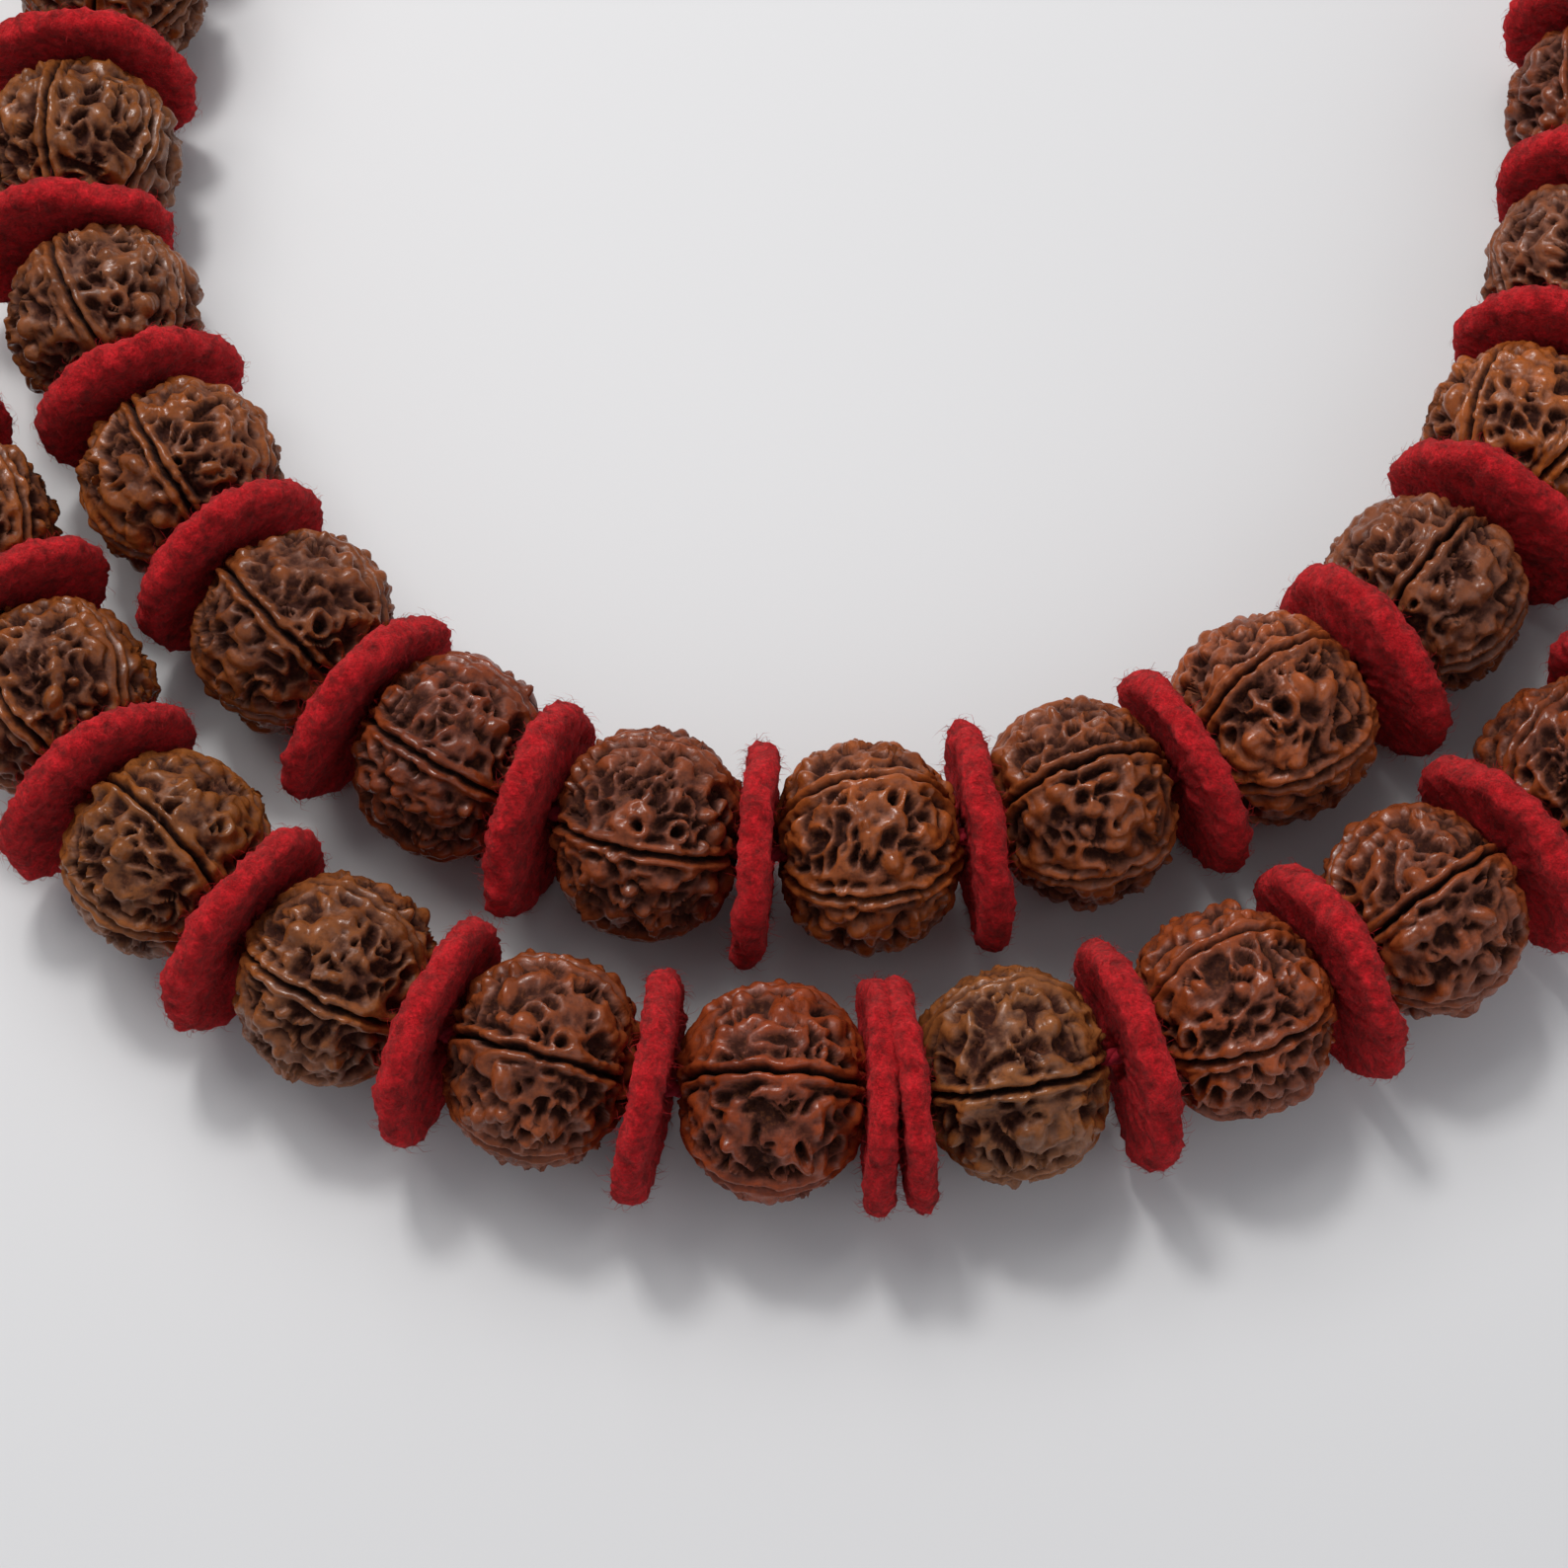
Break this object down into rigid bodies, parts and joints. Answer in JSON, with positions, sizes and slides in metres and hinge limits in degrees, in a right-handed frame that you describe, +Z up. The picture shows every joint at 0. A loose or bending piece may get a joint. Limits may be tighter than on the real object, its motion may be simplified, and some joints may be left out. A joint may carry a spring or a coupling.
{
  "type": "prayer bead mala",
  "caption": "String of large ridged seed beads with red felt discs between them, closed by a guru bead, knot and tassel, laid flat as a folded crescent.",
  "frame": {"origin": "centre of the laid-out string's outline, on the surface it lies on", "axes": "+X along the crescent's width, +Y from the bottom of the crescent towards the tassel, +Z up from the surface"},
  "size_m": [0.2525, 0.2226, 0.0204],
  "materials": {
    "rudraksha_seed": "polished seed",
    "red_felt": "wool felt",
    "red_cord": "twisted thread",
    "tassel_silk": "silk thread",
    "gold_thread": "metallic thread"
  },
  "bodies": {
    "guru": {"guru_bead": "rudraksha_seed", "felt_discs_guru": "red_felt", "stringing_cord": "red_cord", "guru_knot": "red_cord"},
    "tassel": {"tassel_binding": "gold_thread", "tassel_skirt": "tassel_silk"},
    "outer_link_1": {"felt_discs_outer_1": "red_felt"},
    "outer_link_2": {"felt_discs_outer_2": "red_felt"},
    "outer_link_3": {"felt_discs_outer_3": "red_felt"},
    "outer_link_4": {"felt_discs_outer_4": "red_felt"},
    "outer_link_5": {"felt_discs_outer_5": "red_felt"},
    "outer_link_6": {"felt_discs_outer_6": "red_felt"},
    "outer_link_7": {"felt_discs_outer_7": "red_felt"},
    "outer_link_8": {"felt_discs_outer_8": "red_felt"},
    "inner_link_1": {"felt_discs_inner_1": "red_felt"},
    "inner_link_2": {"felt_discs_inner_2": "red_felt"},
    "inner_link_3": {"felt_discs_inner_3": "red_felt"},
    "inner_link_4": {"felt_discs_inner_4": "red_felt"},
    "inner_link_5": {"felt_discs_inner_5": "red_felt"},
    "inner_link_6": {"felt_discs_inner_6": "red_felt"},
    "inner_link_7": {"felt_discs_inner_7": "red_felt"},
    "inner_link_8": {"felt_discs_inner_8": "red_felt"},
    "inner_link_9": {"felt_discs_inner_9": "red_felt"},
    "turning_bead_01": {"bead_01": "rudraksha_seed"},
    "turning_bead_02": {"bead_02": "rudraksha_seed"},
    "turning_bead_03": {"bead_03": "rudraksha_seed"},
    "turning_bead_04": {"bead_04": "rudraksha_seed"},
    "turning_bead_05": {"bead_05": "rudraksha_seed"},
    "turning_bead_06": {"bead_06": "rudraksha_seed"},
    "turning_bead_07": {"bead_07": "rudraksha_seed"},
    "turning_bead_08": {"bead_08": "rudraksha_seed"},
    "turning_bead_09": {"bead_09": "rudraksha_seed"},
    "turning_bead_10": {"bead_10": "rudraksha_seed"},
    "turning_bead_11": {"bead_11": "rudraksha_seed"},
    "turning_bead_12": {"bead_12": "rudraksha_seed"},
    "turning_bead_13": {"bead_13": "rudraksha_seed"},
    "turning_bead_14": {"bead_14": "rudraksha_seed"},
    "turning_bead_15": {"bead_15": "rudraksha_seed"},
    "turning_bead_16": {"bead_16": "rudraksha_seed"},
    "turning_bead_17": {"bead_17": "rudraksha_seed"},
    "turning_bead_18": {"bead_18": "rudraksha_seed"},
    "turning_bead_19": {"bead_19": "rudraksha_seed"},
    "turning_bead_20": {"bead_20": "rudraksha_seed"},
    "turning_bead_21": {"bead_21": "rudraksha_seed"},
    "turning_bead_22": {"bead_22": "rudraksha_seed"},
    "turning_bead_23": {"bead_23": "rudraksha_seed"},
    "turning_bead_24": {"bead_24": "rudraksha_seed"},
    "turning_bead_25": {"bead_25": "rudraksha_seed"},
    "turning_bead_26": {"bead_26": "rudraksha_seed"},
    "turning_bead_27": {"bead_27": "rudraksha_seed"},
    "turning_bead_28": {"bead_28": "rudraksha_seed"},
    "turning_bead_29": {"bead_29": "rudraksha_seed"},
    "turning_bead_30": {"bead_30": "rudraksha_seed"},
    "turning_bead_31": {"bead_31": "rudraksha_seed"},
    "turning_bead_32": {"bead_32": "rudraksha_seed"},
    "turning_bead_33": {"bead_33": "rudraksha_seed"},
    "turning_bead_34": {"bead_34": "rudraksha_seed"},
    "turning_bead_35": {"bead_35": "rudraksha_seed"},
    "turning_bead_36": {"bead_36": "rudraksha_seed"}
  },
  "joints": [
    {"name": "loop_opening", "type": "hinge", "parent": "guru", "child": "outer_link_1", "pos_m": [0.116, 0.012, 0.0102], "axis": [0, 0, 1], "range_deg": [0, 10], "deforming": ["stringing_cord"]},
    {"name": "tassel_swing", "type": "hinge", "parent": "guru", "child": "tassel", "pos_m": [0.10379, 0.04629, 0.0102], "axis": [0, 0, 1], "range_deg": [-35, 35]},
    {"name": "bead_01_turn", "type": "hinge", "parent": "outer_link_1", "child": "turning_bead_01", "pos_m": [0.11539, 0.00188, 0.0102], "axis": [-0.0597, -0.9982, 0], "continuous": true},
    {"name": "bead_02_turn", "type": "hinge", "parent": "outer_link_1", "child": "turning_bead_02", "pos_m": [0.11214, -0.01799, 0.0102], "axis": [-0.2616, -0.9652, 0], "continuous": true},
    {"name": "bead_03_turn", "type": "hinge", "parent": "outer_link_2", "child": "turning_bead_03", "pos_m": [0.10541, -0.03703, 0.0102], "axis": [-0.4033, -0.9151, 0], "continuous": true},
    {"name": "bead_04_turn", "type": "hinge", "parent": "outer_link_2", "child": "turning_bead_04", "pos_m": [0.09561, -0.05464, 0.0102], "axis": [-0.565, -0.8251, 0], "continuous": true},
    {"name": "bead_05_turn", "type": "hinge", "parent": "outer_link_3", "child": "turning_bead_05", "pos_m": [0.0828, -0.07022, 0.0102], "axis": [-0.7005, -0.7137, 0], "continuous": true},
    {"name": "bead_06_turn", "type": "hinge", "parent": "outer_link_3", "child": "turning_bead_06", "pos_m": [0.06736, -0.08316, 0.0102], "axis": [-0.8254, -0.5645, 0], "continuous": true},
    {"name": "bead_07_turn", "type": "hinge", "parent": "outer_link_4", "child": "turning_bead_07", "pos_m": [0.04972, -0.09291, 0.0102], "axis": [-0.9171, -0.3987, 0], "continuous": true},
    {"name": "bead_08_turn", "type": "hinge", "parent": "outer_link_4", "child": "turning_bead_08", "pos_m": [0.02997, -0.09896, 0.0102], "axis": [-0.9819, -0.1893, 0], "continuous": true},
    {"name": "bead_09_turn", "type": "hinge", "parent": "outer_link_5", "child": "turning_bead_09", "pos_m": [0.00884, -0.10074, 0.0102], "axis": [-0.9998, 0.0219, 0], "continuous": true},
    {"name": "bead_10_turn", "type": "hinge", "parent": "outer_link_5", "child": "turning_bead_10", "pos_m": [-0.01159, -0.0979, 0.0102], "axis": [-0.9662, 0.258, 0], "continuous": true},
    {"name": "bead_11_turn", "type": "hinge", "parent": "outer_link_6", "child": "turning_bead_11", "pos_m": [-0.03024, -0.09045, 0.0102], "axis": [-0.8777, 0.4792, 0], "continuous": true},
    {"name": "bead_12_turn", "type": "hinge", "parent": "outer_link_6", "child": "turning_bead_12", "pos_m": [-0.04645, -0.07868, 0.0102], "axis": [-0.7273, 0.6864, 0], "continuous": true},
    {"name": "bead_13_turn", "type": "hinge", "parent": "outer_link_7", "child": "turning_bead_13", "pos_m": [-0.05872, -0.06292, 0.0102], "axis": [-0.4876, 0.8731, 0], "continuous": true},
    {"name": "bead_14_turn", "type": "hinge", "parent": "outer_link_7", "child": "turning_bead_14", "pos_m": [-0.06938, -0.04574, 0.0102], "axis": [-0.5657, 0.8246, 0], "continuous": true},
    {"name": "bead_15_turn", "type": "hinge", "parent": "outer_link_8", "child": "turning_bead_15", "pos_m": [-0.08203, -0.03001, 0.0102], "axis": [-0.6844, 0.7291, 0], "continuous": true},
    {"name": "bead_16_turn", "type": "hinge", "parent": "outer_link_8", "child": "turning_bead_16", "pos_m": [-0.09584, -0.01517, 0.0102], "axis": [-0.6774, 0.7356, 0], "continuous": true},
    {"name": "bead_17_turn", "type": "hinge", "parent": "outer_link_8", "child": "turning_bead_17", "pos_m": [-0.10734, 0.00122, 0.0102], "axis": [-0.461, 0.8874, 0], "continuous": true},
    {"name": "bead_18_turn", "type": "hinge", "parent": "inner_link_9", "child": "turning_bead_18", "pos_m": [-0.11405, 0.02126, 0.0102], "axis": [-0.1832, 0.9831, 0], "continuous": true},
    {"name": "bead_19_turn", "type": "hinge", "parent": "inner_link_9", "child": "turning_bead_19", "pos_m": [-0.1119, 0.04259, 0.0102], "axis": [0.3819, 0.9242, 0], "continuous": true},
    {"name": "bead_20_turn", "type": "hinge", "parent": "inner_link_9", "child": "turning_bead_20", "pos_m": [-0.09724, 0.05675, 0.0102], "axis": [0.9356, 0.3532, 0], "continuous": true},
    {"name": "bead_21_turn", "type": "hinge", "parent": "inner_link_8", "child": "turning_bead_21", "pos_m": [-0.07671, 0.05584, 0.0102], "axis": [0.9015, -0.4328, 0], "continuous": true},
    {"name": "bead_22_turn", "type": "hinge", "parent": "inner_link_8", "child": "turning_bead_22", "pos_m": [-0.06294, 0.04068, 0.0102], "axis": [0.3363, -0.9418, 0], "continuous": true},
    {"name": "bead_23_turn", "type": "hinge", "parent": "inner_link_7", "child": "turning_bead_23", "pos_m": [-0.06044, 0.01905, 0.0102], "axis": [-0.104, -0.9946, 0], "continuous": true},
    {"name": "bead_24_turn", "type": "hinge", "parent": "inner_link_7", "child": "turning_bead_24", "pos_m": [-0.06175, -0.00237, 0.0102], "axis": [-0.0124, -0.9999, 0], "continuous": true},
    {"name": "bead_25_turn", "type": "hinge", "parent": "inner_link_6", "child": "turning_bead_25", "pos_m": [-0.05758, -0.02164, 0.0102], "axis": [0.4242, -0.9056, 0], "continuous": true},
    {"name": "bead_26_turn", "type": "hinge", "parent": "inner_link_6", "child": "turning_bead_26", "pos_m": [-0.04832, -0.03965, 0.0102], "axis": [0.4898, -0.8718, 0], "continuous": true},
    {"name": "bead_27_turn", "type": "hinge", "parent": "inner_link_5", "child": "turning_bead_27", "pos_m": [-0.03649, -0.05588, 0.0102], "axis": [0.6804, -0.7328, 0], "continuous": true},
    {"name": "bead_28_turn", "type": "hinge", "parent": "inner_link_5", "child": "turning_bead_28", "pos_m": [-0.02104, -0.06863, 0.0102], "axis": [0.8483, -0.5296, 0], "continuous": true},
    {"name": "bead_29_turn", "type": "hinge", "parent": "inner_link_4", "child": "turning_bead_29", "pos_m": [-0.00263, -0.07611, 0.0102], "axis": [0.9773, -0.2117, 0], "continuous": true},
    {"name": "bead_30_turn", "type": "hinge", "parent": "inner_link_4", "child": "turning_bead_30", "pos_m": [0.01726, -0.07715, 0.0102], "axis": [0.9941, 0.1083, 0], "continuous": true},
    {"name": "bead_31_turn", "type": "hinge", "parent": "inner_link_3", "child": "turning_bead_31", "pos_m": [0.03688, -0.07276, 0.0102], "axis": [0.9458, 0.3249, 0], "continuous": true},
    {"name": "bead_32_turn", "type": "hinge", "parent": "inner_link_3", "child": "turning_bead_32", "pos_m": [0.05499, -0.06407, 0.0102], "axis": [0.845, 0.5348, 0], "continuous": true},
    {"name": "bead_33_turn", "type": "hinge", "parent": "inner_link_2", "child": "turning_bead_33", "pos_m": [0.07006, -0.05099, 0.0102], "axis": [0.648, 0.7617, 0], "continuous": true},
    {"name": "bead_34_turn", "type": "hinge", "parent": "inner_link_2", "child": "turning_bead_34", "pos_m": [0.0809, -0.03414, 0.0102], "axis": [0.4254, 0.905, 0], "continuous": true},
    {"name": "bead_35_turn", "type": "hinge", "parent": "inner_link_1", "child": "turning_bead_35", "pos_m": [0.08817, -0.0153, 0.0102], "axis": [0.2923, 0.9563, 0], "continuous": true},
    {"name": "bead_36_turn", "type": "hinge", "parent": "inner_link_1", "child": "turning_bead_36", "pos_m": [0.09231, 0.00443, 0.0102], "axis": [0.1173, 0.9931, 0], "continuous": true},
    {"name": "outer_bend_2", "type": "hinge", "parent": "outer_link_1", "child": "outer_link_2", "pos_m": [0.1095, -0.02776, 0.0102], "axis": [0, 0, 1], "range_deg": [0, 4.63]},
    {"name": "outer_bend_3", "type": "hinge", "parent": "outer_link_2", "child": "outer_link_3", "pos_m": [0.08989, -0.06299, 0.0102], "axis": [0, 0, 1], "range_deg": [-10.76, 0]},
    {"name": "outer_bend_4", "type": "hinge", "parent": "outer_link_3", "child": "outer_link_4", "pos_m": [0.05901, -0.08887, 0.0102], "axis": [0, 0, 1], "range_deg": [-10.38, 0]},
    {"name": "outer_bend_5", "type": "hinge", "parent": "outer_link_4", "child": "outer_link_5", "pos_m": [0.0195, -0.10098, 0.0102], "axis": [0, 0, 1], "range_deg": [0, 13.53]},
    {"name": "outer_bend_6", "type": "hinge", "parent": "outer_link_5", "child": "outer_link_6", "pos_m": [-0.02136, -0.0953, 0.0102], "axis": [0, 0, 1], "range_deg": [0, 6.44]},
    {"name": "outer_bend_7", "type": "hinge", "parent": "outer_link_6", "child": "outer_link_7", "pos_m": [-0.05378, -0.07176, 0.0102], "axis": [0, 0, 1], "range_deg": [-1.76, 0]},
    {"name": "outer_bend_8", "type": "hinge", "parent": "outer_link_7", "child": "outer_link_8", "pos_m": [-0.0751, -0.0374, 0.0102], "axis": [0, 0, 1], "range_deg": [0, 7.25]},
    {"name": "inner_bend_1", "type": "hinge", "parent": "guru", "child": "inner_link_1", "pos_m": [0.0935, 0.0145, 0.0102], "axis": [0, 0, 1], "range_deg": [0, 3.66]},
    {"name": "inner_bend_2", "type": "hinge", "parent": "inner_link_1", "child": "inner_link_2", "pos_m": [0.08521, -0.02498, 0.0102], "axis": [0, 0, 1], "range_deg": [0, 1.25]},
    {"name": "inner_bend_3", "type": "hinge", "parent": "inner_link_2", "child": "inner_link_3", "pos_m": [0.06353, -0.05866, 0.0102], "axis": [0, 0, 1], "range_deg": [-3.02, 0]},
    {"name": "inner_bend_4", "type": "hinge", "parent": "inner_link_3", "child": "inner_link_4", "pos_m": [0.02731, -0.07605, 0.0102], "axis": [0, 0, 1], "range_deg": [0, 1.25]},
    {"name": "inner_bend_5", "type": "hinge", "parent": "inner_link_4", "child": "inner_link_5", "pos_m": [-0.01247, -0.07398, 0.0102], "axis": [0, 0, 1], "range_deg": [0, 2.39]},
    {"name": "inner_bend_6", "type": "hinge", "parent": "inner_link_5", "child": "inner_link_6", "pos_m": [-0.04336, -0.04848, 0.0102], "axis": [0, 0, 1], "range_deg": [0, 9.7]},
    {"name": "inner_bend_7", "type": "hinge", "parent": "inner_link_6", "child": "inner_link_7", "pos_m": [-0.06187, -0.01247, 0.0102], "axis": [0, 0, 1], "range_deg": [-1.25, 0]},
    {"name": "inner_bend_8", "type": "hinge", "parent": "inner_link_7", "child": "inner_link_8", "pos_m": [-0.05925, 0.03037, 0.0102], "axis": [0, 0, 1], "range_deg": [0, 10.6]},
    {"name": "inner_bend_9", "type": "hinge", "parent": "inner_link_8", "child": "inner_link_9", "pos_m": [-0.0868, 0.06069, 0.0102], "axis": [0, 0, 1], "range_deg": [-5.54, 0]}
  ],
  "couplings": [
    {"joint": "outer_bend_2", "follows": "loop_opening", "ratio": 0.458},
    {"joint": "outer_bend_3", "follows": "loop_opening", "ratio": -1.071},
    {"joint": "outer_bend_4", "follows": "loop_opening", "ratio": -1.033},
    {"joint": "outer_bend_5", "follows": "loop_opening", "ratio": 1.348},
    {"joint": "outer_bend_6", "follows": "loop_opening", "ratio": 0.639},
    {"joint": "outer_bend_7", "follows": "loop_opening", "ratio": -0.171},
    {"joint": "outer_bend_8", "follows": "loop_opening", "ratio": 0.72},
    {"joint": "inner_bend_1", "follows": "loop_opening", "ratio": 0.361},
    {"joint": "inner_bend_2", "follows": "loop_opening", "ratio": 0.12},
    {"joint": "inner_bend_3", "follows": "loop_opening", "ratio": -0.297},
    {"joint": "inner_bend_4", "follows": "loop_opening", "ratio": 0.12},
    {"joint": "inner_bend_5", "follows": "loop_opening", "ratio": 0.234},
    {"joint": "inner_bend_6", "follows": "loop_opening", "ratio": 0.965},
    {"joint": "inner_bend_7", "follows": "loop_opening", "ratio": -0.12},
    {"joint": "inner_bend_8", "follows": "loop_opening", "ratio": 1.055},
    {"joint": "inner_bend_9", "follows": "loop_opening", "ratio": -0.549}
  ]
}
